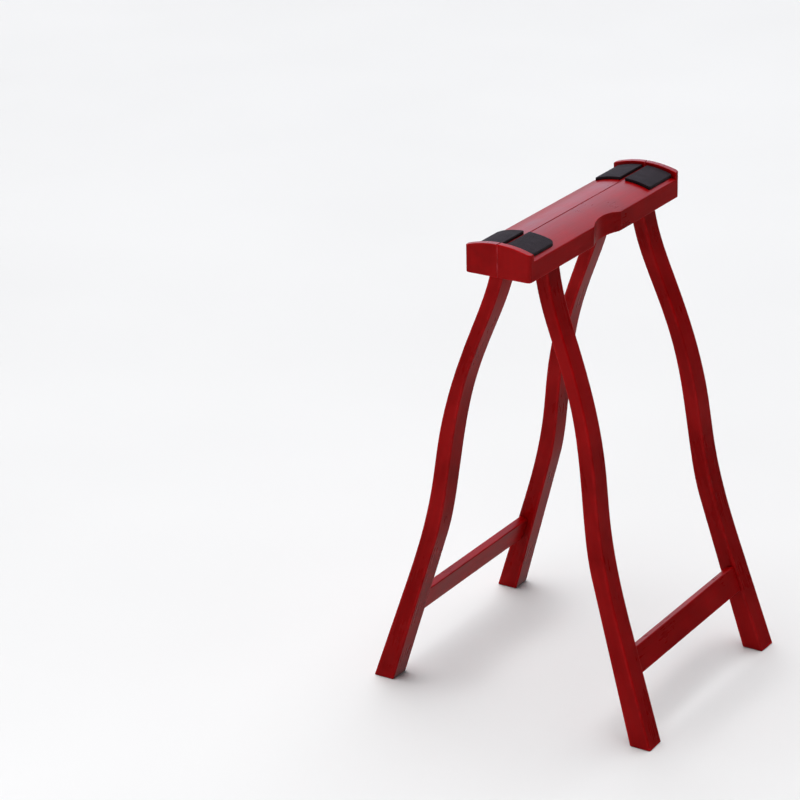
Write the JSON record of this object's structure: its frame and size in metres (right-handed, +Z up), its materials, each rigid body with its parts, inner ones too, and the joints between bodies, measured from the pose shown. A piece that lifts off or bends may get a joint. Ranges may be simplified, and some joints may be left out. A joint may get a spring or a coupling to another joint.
{
  "type": "folding a-frame trestle",
  "caption": "Folding wooden A-frame trestle in red gloss lacquer, with a crowned, lipped top beam split lengthwise on hinges, grip pads, bent splayed legs and low stretchers.",
  "frame": {"origin": "on the floor, under the middle of the beam", "axes": "+X across the A toward the right half-frame, +Y along the beam toward its back end, +Z up"},
  "size_m": [0.41, 0.38, 0.6383],
  "materials": {
    "lacquer": "deep red gloss lacquer",
    "pad": "matt dark grey foam rubber",
    "steel": "brushed zinc-plated steel",
    "screw_steel": "zinc-plated screws"
  },
  "bodies": {
    "left_half": {"half_beam_left": "lacquer", "leg_left_front": "lacquer", "leg_left_back": "lacquer", "stretcher_left": "lacquer", "pad_left_front": "pad", "pad_left_back": "pad", "hinge_leaf_left_front": "steel", "hinge_leaf_left_back": "steel", "hinge_screws_left": "screw_steel", "hinge_pin_front": "steel", "hinge_pin_back": "steel"},
    "right_half": {"half_beam_right": "lacquer", "leg_right_front": "lacquer", "leg_right_back": "lacquer", "stretcher_right": "lacquer", "pad_right_front": "pad", "pad_right_back": "pad", "hinge_leaf_right_front": "steel", "hinge_leaf_right_back": "steel", "hinge_screws_right": "screw_steel"}
  },
  "joints": [
    {"name": "fold", "type": "hinge", "parent": "left_half", "child": "right_half", "pos_m": [0, 0, 0.5924], "axis": [0, 1, 0], "range_deg": [0, 32.8]}
  ]
}
